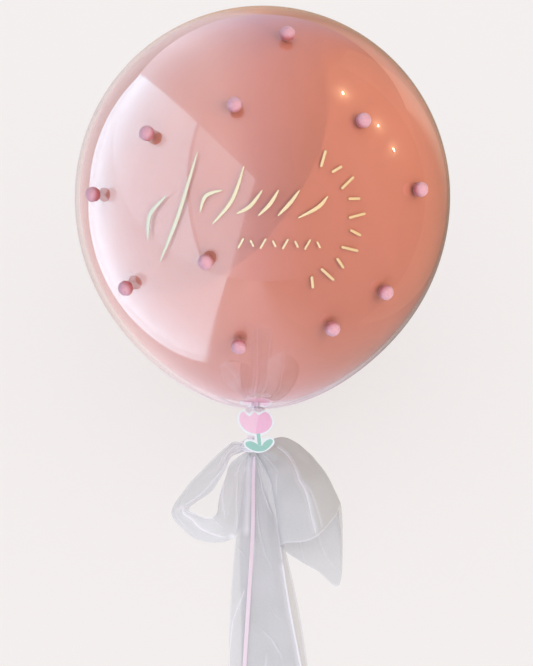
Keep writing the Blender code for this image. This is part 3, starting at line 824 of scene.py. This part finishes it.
def film_wall(name, first, last, made):
    """Film between two rings of its profile, with a skin on each side and closed edges."""
    bm = bmesh.new()
    outer = turned_grid(bm, film_profile(0)[first:last], FILM_SIDES, gather)
    inner = turned_grid(bm, film_profile(FILM_THICKNESS)[first:last], FILM_SIDES, gather)
    for end in (0, -1):
        if len(outer[end]) > 1:
            join_rings(bm, (outer[end], inner[end]))
    bm.transform(BALLOON)
    keep_above(bm, 0.0)
    film = add_mesh(name, bm, made)
    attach(film, "root")
    return film


def make_film():
    film = film_wall("bubble_film", 0, BODY_RINGS + 1, film_material())
    neck = film_wall("bubble_neck", BODY_RINGS, None, gathered_film_material())
    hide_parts("bubble")
    return neck


def make_inner_balloon():
    """Pink balloon sealed in the film, a little smaller and pushed up and to the right."""
    bm = bmesh.new()
    profile = []
    for ring in range(BODY_RINGS + 1):
        polar = pi * ring / BODY_RINGS
        reach = bubble_reach(polar) - INNER_GAP
        # Round off the foot, which doesn't follow the film down to the neck
        near_foot = max(0.0, (polar / pi - INNER_ROUND_FROM) / (1 - INNER_ROUND_FROM))
        reach -= INNER_ROUND_OFF * near_foot**2
        radius = 0 if ring in (0, BODY_RINGS) else reach * sin(polar)
        profile.append((radius, reach * cos(polar)))
    turned_grid(bm, profile, FILM_SIDES)
    bm.transform(BALLOON @ Matrix.Translation(INNER_SHIFT))
    keep_above(bm, INNER_FLOOR_GAP)
    inner = add_mesh("inner_balloon", bm, latex_material())
    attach(inner, "root")


def make_inner_neck():
    """Tied-off tail of the pink balloon, gathered in the film's neck."""
    bm = bmesh.new()
    profile = []
    for step in range(TAIL_STEPS + 1):
        share = step / TAIL_STEPS
        wide = TAIL_RADIUS - TAIL_WAIST * sin(pi * min(1.0, 1.5 * share))
        wide += TAIL_FLARE * max(0.0, 1 - 5 * share) ** 2
        profile.append((wide if 0 < step < TAIL_STEPS else 0, -(TAIL_TOP + TAIL_LENGTH * share)))

    def folds(angle, along):
        return 1.0 - 0.22 * (0.5 + 0.5 * sin(7 * angle + 60 * along))

    turned_grid(bm, profile, TAIL_SIDES, folds)
    bm.transform(BALLOON)
    # Pale pink: partly stretched latex, which is paler, and partly painted light that lifts the tail out of
    # its shade
    neck = add_mesh("inner_neck", bm, print_material("pale latex", (0.86, 0.68, 0.76)))
    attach(neck, "root")
    return neck


def make_pom(name, down, around, made, number):
    """Ball of cropped wool: tufts stand out of it in an uneven surface."""
    bm = bmesh.new()
    painted_contact_shade = bm.verts.layers.float.new("painted_contact_shade")
    bmesh.ops.create_icosphere(bm, subdivisions=5, radius=1.0)
    seed = Vector((number * 7.3, number * 3.1, number * 5.7))
    for vert in bm.verts:
        at = vert.co.normalized()
        # Painted shade, strongest on the side of the ball that sits on the film
        vert[painted_contact_shade] = smooth((POM_SHADE_FROM - at.z) / POM_SHADE_SPAN)
        lump = noise.noise(at * 2.2 + seed)
        tuft = noise.noise(at * 9.0 + seed)
        fine = noise.noise(at * 24.0 + seed)
        vert.co = at * POM_RADIUS * (0.95 + 0.035 * lump + 0.035 * tuft + 0.025 * fine)
    keep_above(bm, -POM_SEAT)
    outward = direction(down, around)
    reach = bubble_reach(radians(down)) + POM_SEAT
    turn = outward.to_track_quat("Z", "Y").to_matrix().to_4x4()
    bm.transform(BALLOON @ Matrix.Translation(outward * reach) @ turn)
    pom = add_mesh(f"{name}_wool", bm, made)
    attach(pom, "root")
    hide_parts(name)


def make_poms():
    made = pom_material()
    for number, (down, around) in enumerate(FRONT_POMS + REAR_POMS, start=1):
        make_pom(f"pom_{number:02d}", down, around, made, number)


# Vinyl marks


def face_point(right, up, lift):
    """Point above the face of the bubble, in the balloon's frame."""
    reach = BUBBLE_RADIUS
    for _ in range(8):
        reach = bubble_reach(math.acos(up / reach))
    out = math.sqrt(reach**2 - right**2 - up**2)
    return Vector((right, up, out)) * ((reach + lift) / reach)


def round_ends(share, length, width):
    """Share of the full width that a strip with round ends has at a share of its length."""
    from_end = min(share, 1 - share) * length
    short = max(0.0, 1 - from_end / (width / 2))
    return math.sqrt(max(0.0, 1 - short**2))


def make_mark(name, path, width_at, made):
    """Thin strip of film laid on the face along path, a list of (right, up)."""
    bm = bmesh.new()
    columns = 6
    last = len(path) - 1
    rows = []
    for step, (right, up) in enumerate(path):
        ahead = Vector(path[min(step + 1, last)]) - Vector(path[max(step - 1, 0)])
        across = Vector((-ahead.y, ahead.x)).normalized() * max(width_at(step / last), MARK_TIP_WIDTH) / 2
        under, over = [], []
        for column in range(columns + 1):
            side = 2 * column / columns - 1
            x, y = right + side * across.x, up + side * across.y
            rounded = MARK_THICKNESS * (1 - 0.5 * side**6)
            over.append(bm.verts.new(face_point(x, y, MARK_LIFT + rounded)))
            under.append(bm.verts.new(face_point(x, y, MARK_LIFT)))
        rows.append(over + under[::-1])
    strip_solid(bm, rows)
    bm.transform(BALLOON)
    mark = add_mesh(f"{name}_film", bm, made)
    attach(mark, "root")
    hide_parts(name)


def make_brush_strokes(made):
    for number, stroke in enumerate(BRUSH_STROKES, start=1):
        points = [Vector((x, y, 0)) for x, y in stroke]
        path = [curve_through(points, step / BRUSH_STEPS).xy for step in range(BRUSH_STEPS + 1)]
        length = sum((b - a).length for a, b in zip(path, path[1:]))

        def width_at(share):
            pressed = BRUSH_WIDTH * (0.25 + 0.75 * sin(pi * share))
            return pressed * round_ends(share, length, 0.25 * BRUSH_WIDTH)

        make_mark(f"brush_mark_{number}", path, width_at, made)


def make_bar(name, middle, angle, length, width, made):
    along = Vector((cos(angle), sin(angle))) * length
    # Steps crowd at the ends, where the strip is round
    shares = [0.5 - 0.5 * cos(pi * step / BAR_STEPS) for step in range(BAR_STEPS + 1)]
    path = [middle + along * (share - 0.5) for share in shares]

    def width_at(place):
        share = 0.5 - 0.5 * cos(pi * place)
        return width * round_ends(share, length, width)

    make_mark(name, path, width_at, made)


def make_bars(made):
    start, end = Vector(SMALL_ROW_START), Vector(SMALL_ROW_END)
    for number in range(SMALL_ROW_COUNT):
        middle = start.lerp(end, number / (SMALL_ROW_COUNT - 1))
        slant = SMALL_BAR_SLANT if number % 2 == 0 else pi - SMALL_BAR_SLANT
        name = f"small_mark_{number + 1}"
        make_bar(name, middle, slant, SMALL_BAR_LENGTHS[number % 2], BAR_WIDTH, made)
    for number in range(ARC_ROW_COUNT):
        around = ARC_ROW_FROM + (ARC_ROW_TO - ARC_ROW_FROM) * number / (ARC_ROW_COUNT - 1)
        middle = Vector(ARC_ROW_CENTRE) + ARC_ROW_RADIUS * Vector((cos(around), sin(around)))
        slant = ARC_BAR_SLANT if number % 2 == 0 else -ARC_BAR_SLANT
        name = f"arc_mark_{number + 1:02d}"
        make_bar(name, middle, around + slant, ARC_BAR_LENGTHS[number % 2], ARC_BAR_WIDTH, made)


# Tulip tag


def closed_curve(points, steps_each):
    """Smooth closed outline through points."""
    count = len(points)
    outline = []
    for number in range(count):
        span = [Vector((*points[(number + shift) % count], 0)) for shift in (-1, 0, 1, 2)]
        for step in range(steps_each):
            outline.append(curve_through(span, (1 + step / steps_each) / 3).xy)
    return outline


def inside(point, outline):
    """True if a point of the card is inside a closed outline."""
    found = False
    for a, b in zip(outline, outline[1:] + outline[:1]):
        if (a.y > point.y) != (b.y > point.y):
            if point.x < a.x + (b.x - a.x) * (point.y - a.y) / (b.y - a.y):
                found = not found
    return found


def print_kind(at, flower, leaves, stem, split):
    """Which print a place on the card has: 0 none, 1 and 2 the flower's halves, 3 leaf and stem."""
    if inside(at, flower):
        middle = min(split, key=lambda p: abs(p.y - at.y))
        return 2 if at.x > middle.x else 1
    return 3 if inside(at, leaves) or inside(at, stem) else 0


def make_tag():
    """Die-cut card with its print set flush in the front."""
    border, flower, leaves = (
        closed_curve(points, TAG_CURVE_STEPS) for points in (TAG_BORDER, TAG_FLOWER, TAG_LEAVES)
    )
    stem = [Vector(point) for point in TAG_STEM]
    line = [Vector((*point, 0)) for point in TAG_SPLIT]
    split = [curve_through(line, step / TAG_SPLIT_STEPS).xy for step in range(TAG_SPLIT_STEPS + 1)]
    points, edges = [], []
    for outline, closed in ((border, True), (flower, True), (leaves, True), (stem, True), (split, False)):
        first = len(points)
        points += outline
        count = len(outline)
        edges += [(first + n, first + (n + 1) % count) for n in range(count if closed else count - 1)]
    places, _, faces, *_ = geometry.delaunay_2d_cdt(points, edges, [], 0, TAG_POINT_MERGE)
    bm = bmesh.new()
    front = [bm.verts.new((p.x, p.y, TAG_THICKNESS)) for p in places]
    back = [bm.verts.new((p.x, p.y, 0)) for p in places]
    border_edges = {}
    for face in faces:
        middle = sum((places[n] for n in face), Vector((0, 0))) / len(face)
        if not inside(middle, border):
            continue
        kind = print_kind(middle, flower, leaves, stem, split)
        bm.faces.new([front[n] for n in face]).material_index = kind
        bm.faces.new([back[n] for n in reversed(face)])
        for a, b in zip(face, face[1:] + face[:1]):
            # An edge that two faces share isn't on the border
            if (b, a) in border_edges:
                del border_edges[(b, a)]
            else:
                border_edges[(a, b)] = True
    for a, b in border_edges:
        bm.faces.new((front[a], back[a], back[b], front[b]))
    loose = [vert for vert in bm.verts if not vert.link_faces]
    bmesh.ops.delete(bm, geom=loose, context="VERTS")
    place = Matrix.Translation((TAG_RIGHT, -TAG_DROP, KNOT_RADIUS + GAP)) @ Matrix.Rotation(TAG_TURN, 4, "Z")
    bm.transform(BALLOON @ place)
    tag = add_mesh("tulip_card", bm, print_material("card white", (0.86, 0.90, 0.94)))
    for name, colour in (
        ("petal light", (0.93, 0.62, 0.78)),
        ("petal deep", (0.90, 0.52, 0.72)),
        ("leaf green", (0.34, 0.62, 0.56)),
    ):
        tag.data.materials.append(print_material(name, colour))
    tag.data.polygons.foreach_set("use_smooth", [False] * len(tag.data.polygons))
    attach(tag, "root")
    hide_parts("tulip_tag")
    return tag


# Tulle bow


def from_knot(point):
    """Place in the world of a point given from the knot."""
    right, ahead, height = point
    return Vector((KNOT.x + right, KNOT.y - ahead, height))


def sheet_grid(lines, across, along, closed):
    """Points of a sheet drawn over lines that run side by side, as columns from the root to the end."""
    lines = [[Vector(point) for point in line] for line in lines]
    sampled = [[curve_through(line, step / along) for step in range(along + 1)] for line in lines]
    count = len(lines)
    grid = []
    for column in range(across if closed else across + 1):
        share = column / across
        row = []
        for step in range(along + 1):
            cross = [line[step] for line in sampled]
            if closed:
                cross = [cross[-1]] + cross + cross[:2]
                row.append(from_knot(curve_through(cross, (1 + share * count) / (count + 2))))
            else:
                row.append(from_knot(curve_through(cross, share)))
        grid.append(row)
    return grid


def fold_places(path, along):
    """Share across and strength of a fold at each step of its sheet."""
    points = [Vector((t / 100, share / 100, 0)) for t, share in path]
    first, last = points[0].x, points[-1].x
    places = []
    for step in range(along + 1):
        t = step / along
        at = points[0]
        for a, b in zip(points, points[1:]):
            if a.x <= t <= b.x:
                at = a.lerp(b, (t - a.x) / (b.x - a.x))
        if t > last:
            at = points[-1]
        # A fold that runs to the end of the sheet doesn't fade there
        runs_out = 1 if t > 0.99 and last > 0.99 else 0
        places.append((at.y, smooth(min(t - first, last - t) / FOLD_FADE + runs_out)))
    return places


def fold_effect(creases, step, share, sheet_width, closed):
    """Lift and whiteness that the folds of a sheet give to a point of it; the whiteness is partly denser net
    and partly a painted highlight.
    """
    lift, white = 0.0, 0.0
    for places, height, whiteness, width in creases:
        at, fade = places[step]
        gap = abs(share - at)
        if closed:
            gap = min(gap, 1 - gap)
        away = gap * sheet_width / width
        near = fade * math.exp(-(away**2))
        around = fade * math.exp(-((away / FOLD_SURROUND_REACH) ** 2))
        lift += height * near
        white = max(white, whiteness * near, FOLD_SURROUND_SHARE * whiteness * around)
    return lift, white


def value_at(stops, share):
    """Value at a share, on straight lines between stops of (share, value)."""
    for (start, low), (end, high) in zip(stops, stops[1:]):
        if share <= end:
            return low + (high - low) * (share - start) / (end - start)
    return stops[-1][1]


def tulle_sheet(
    bm, lines, across, along, closed=False, folds=(), pinches=(), ripples=(), warm=((0, 0), (1, 0)),
    floor_gap=NET_FLOOR_GAP,
):
    """Net drawn over lines that run side by side.

    Each fold is (path of (percent along, percent across), height in mm, whiteness, width in mm), each
    pinch (share along, share across, size), each ripple (count across, height at the root, height at
    the end, phase) and each stop of warm (share across, warmth).
    """
    fold_density_and_highlight = bm.verts.layers.float["fold"]
    warm_layer = bm.verts.layers.float["warm"]
    grid = sheet_grid(lines, across, along, closed)
    columns = len(grid)
    creases = [(fold_places(path, along), high * MM, white, wide * MM) for path, high, white, wide in folds]
    gathers = [(grid[round(share * across)][round(t * along)], size) for t, share, size in pinches]
    verts = []
    for column in range(columns):
        share = column / across
        before = grid[column - 1] if column or closed else grid[column]
        after = grid[(column + 1) % columns] if column + 1 < columns or closed else grid[column]
        row = []
        for step in range(along + 1):
            t = step / along
            place = grid[column][step]
            ahead = grid[column][min(step + 1, along)] - grid[column][max(step - 1, 0)]
            beside = after[step] - before[step]
            normal = ahead.cross(beside)
            normal = normal.normalized() if normal.length > 1e-12 else Vector((0, 0, 1))
            spacing = beside.length / (1 if before is grid[column] or after is grid[column] else 2)
            lift, white = fold_effect(creases, step, share, spacing * across, closed)
            for number, root, end, phase in ripples:
                angle = 2 * pi * (number * share + phase) + 0.9 * sin(5 * t + phase)
                lift += (root + (end - root) * min(1.0, 1.6 * t)) * sin(angle)
            crease = noise.noise(place * 34.0 + Vector((3.1, 1.7, 0)))
            lift += CREASE_HEIGHT * crease * min(1.0, 4 * t)
            patch = 0.5 + 0.5 * noise.noise(place * 22.0 + Vector((0, 9.4, 2.2)))
            white = max(white, PATCH_WHITENESS * patch)
            for middle, size in gathers:
                white = max(white, PINCH_WHITENESS * math.exp(-((place - middle).length_squared / size**2)))
            point = place + normal * lift
            point.z = max(point.z, floor_gap)
            vert = bm.verts.new(point)
            vert[fold_density_and_highlight] = white
            vert[warm_layer] = value_at(warm, share)
            row.append(vert)
        verts.append(row)
    pairs = list(zip(verts, verts[1:]))
    if closed:
        pairs.append((verts[-1], verts[0]))
        # A pale hem round the open end
        for row in verts:
            for step in range(along - HEM_STEPS, along + 1):
                row[step][fold_density_and_highlight] = max(row[step][fold_density_and_highlight], HEM_WHITENESS - 0.15 * (along - step))
    for row, beside in pairs:
        for step in range(along):
            bm.faces.new((row[step], row[step + 1], beside[step + 1], beside[step]))


def knot_wrap(bm):
    """Gathered net wound round the neck, as a lumpy barrel in the balloon's frame."""
    fold_density_and_highlight = bm.verts.layers.float["fold"]
    sides, rings = 96, 40
    rows = []
    for ring in range(rings + 1):
        angle = pi * (WRAP_FROM + WRAP_OVER * ring / rings)
        row = []
        for side in range(sides):
            around = 2 * pi * side / sides
            wind = 5 * angle + 0.35 * sin(around) + 0.2 * sin(3 * around)
            ridge = 0.5 + 0.5 * sin(2.6 * wind)
            radius = (KNOT_RADIUS - WRAP_INSET + WRAP_RIDGE * ridge) * sin(angle)
            along = -KNOT_DISTANCE + KNOT_HALF_LENGTH * cos(angle)
            place = BALLOON @ Vector((radius * sin(around), along, radius * cos(around)))
            vert = bm.verts.new(place)
            # Painted light: the wound net is made nearly white all over to lift it out of its shade, and
            # whitest on its ridges as a painted highlight
            vert[fold_density_and_highlight] = 0.75 + 0.25 * ridge**3
            row.append(vert)
        rows.append(row)
    join_rings(bm, rows)


def right_loop_lines():
    """Lines of the right loop, each begun on the small ring inside the knot."""
    lines = []
    for number, line in enumerate(RIGHT_LOOP_LINES):
        angle = radians(225) + 2 * pi * number / len(RIGHT_LOOP_LINES)
        across = RIGHT_LOOP_ROOT_RADIUS * Vector((math.sqrt(0.5), -math.sqrt(0.5), 0))
        upward = RIGHT_LOOP_ROOT_RADIUS * Vector((0, 0, 1))
        start = Vector(RIGHT_LOOP_ROOT) + across * cos(angle) + upward * sin(angle)
        lines.append([start, *line])
    return lines


def make_bow():
    bm = bmesh.new()
    bm.verts.layers.float.new("fold")
    bm.verts.layers.float.new("warm")
    knot_wrap(bm)
    tulle_sheet(
        bm, (BACK_TAIL_LEFT, BACK_TAIL_RIGHT), 60, 220, folds=BACK_TAIL_FOLDS,
        ripples=((3, 0.0012, 0.0008, 0.2),), warm=((0, 0.2), (0.6, 0.4), (0.8, 1.0), (1, 1.0)),
    )
    tulle_sheet(
        bm, (FRONT_TAIL_LEFT, FRONT_TAIL_RIGHT), 90, 260, folds=FRONT_TAIL_FOLDS,
        ripples=((3, 0.0012, 0.0008, 0.1),), floor_gap=FRONT_TAIL_FLOOR_GAP,
    )
    tulle_sheet(
        bm, (LEFT_LOOP_OUTER, LEFT_LOOP_INNER), 50, 260, folds=LEFT_LOOP_FOLDS, pinches=LEFT_LOOP_PINCHES,
        ripples=((2, 0.0010, 0.0010, 0.3),),
    )
    tulle_sheet(
        bm, right_loop_lines(), 160, 140, closed=True, folds=RIGHT_LOOP_FOLDS,
        ripples=((5, 0.0008, 0.0010, 0.4),),
        warm=((0, 0.1), (0.28, 0.2), (0.40, 1.0), (0.64, 1.0), (0.70, 0.25), (0.85, 0.0), (1, 0.1)),
    )
    bow = add_mesh("tulle_strip", bm, tulle_material(), recalc=False)
    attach(bow, "root")
    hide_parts("tulle_bow")
    return bow


# Ribbon


def ribbon_path():
    """Middle of the ribbon from the knot to its end, with its turn about itself at each point."""
    free = [Vector(point) for point in RIBBON_POINTS]
    centre = Vector((COIL_RIGHT, COIL_AHEAD, 0))
    path, turns = [], []
    for step in range(RIBBON_STEPS + 1):
        share = step / RIBBON_STEPS
        point = curve_through(free, share)
        on_edge = smooth((point.y - COIL_TURN_FROM) / COIL_TURN_SPAN)
        near_knot = max(0.0, 1 - (point.y - RIBBON_POINTS[0][1]) / KNOT_TURN_SPAN)
        sway = SWAY * sin(23 * share) * (1 - on_edge)
        path.append(point)
        turns.append(TURN_IN_COIL * on_edge + TURN_AT_KNOT * near_knot**2 + sway)
    total = COIL_TURNS * COIL_STEPS
    for step in range(1, total + 1):
        share = step / total
        angle = 2 * pi * COIL_TURNS * share
        radius = COIL_OUTER - COIL_TURNS * COIL_PITCH * share
        path.append(centre + Vector((radius * cos(angle), radius * sin(angle), COIL_LIFT)))
        turns.append(TURN_IN_COIL)
    return [from_knot(point) for point in path], turns


def make_ribbon():
    path, turns = ribbon_path()
    bm = bmesh.new()
    rows = []
    last = len(path) - 1
    sides = [column / RIBBON_COLUMNS - 0.5 for column in range(RIBBON_COLUMNS + 1)]
    for step, point in enumerate(path):
        along = (path[min(step + 1, last)] - path[max(step - 1, 0)]).normalized()
        level = along.cross(Vector((0, 0, 1))).normalized()
        rise = level.cross(along).normalized()
        wide = level * cos(turns[step]) + rise * sin(turns[step])
        thin = along.cross(wide).normalized() * RIBBON_THICKNESS / 2
        # The end is cut at a slant
        slant = END_SLANT if step == last else 0.0
        middles = [point + wide * (RIBBON_WIDTH * side) - along * (slant * (0.5 + side)) for side in sides]
        over = [bm.verts.new(middle + thin) for middle in middles]
        rows.append(over + [bm.verts.new(middle - thin) for middle in reversed(middles)])
    strip_solid(bm, rows)
    made = ribbon_material()
    ribbon = add_mesh("satin_ribbon", bm, made)
    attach(ribbon, "root")
    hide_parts("ribbon", "ribbon_coil")
    tie = make_tie(made)
    return ribbon, tie


def make_tie(made):
    """Narrow band that holds the turns of the coil together."""
    bm = bmesh.new()
    middle = COIL_OUTER - COIL_TURNS * COIL_PITCH / 2
    half_across = COIL_TURNS * COIL_PITCH / 2 + TIE_CLEAR_ACROSS
    half_high = RIBBON_WIDTH / 2 + TIE_CLEAR_ABOVE
    outward = Vector((cos(TIE_ANGLE), sin(TIE_ANGLE), 0))
    along = Vector((-sin(TIE_ANGLE), cos(TIE_ANGLE), 0))
    centre = Vector((COIL_RIGHT, COIL_AHEAD, COIL_LIFT)) + outward * middle
    rings = []
    for offset, swell in TIE_RINGS:
        grow = TIE_THICKNESS * swell
        ring = []
        for side in range(TIE_SIDES):
            around = 2 * pi * side / TIE_SIDES
            across, high = cos(around), sin(around)
            # Rounded rectangle about the bundle
            bulge = (abs(across) ** 6 + abs(high) ** 6) ** (-1 / 6)
            point = centre + along * offset + outward * (half_across + grow) * across * bulge
            point.z = max(point.z + (half_high + grow) * high * bulge, TIE_FLOOR_GAP)
            ring.append(bm.verts.new(from_knot(point)))
        rings.append(ring)
    join_rings(bm, [*rings, rings[0]])
    tie = add_mesh("ribbon_tie", bm, made)
    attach(tie, "root")
    return tie


make_camera()
make_world()
floor = make_floor()
necks = [make_film(), make_inner_neck()]
make_inner_balloon()
make_poms()
vinyl = vinyl_material()
make_brush_strokes(vinyl)
make_bars(vinyl)
tag = make_tag()
trims = [tag, make_bow(), *make_ribbon(), *necks]
make_lights(floor, tag, trims)
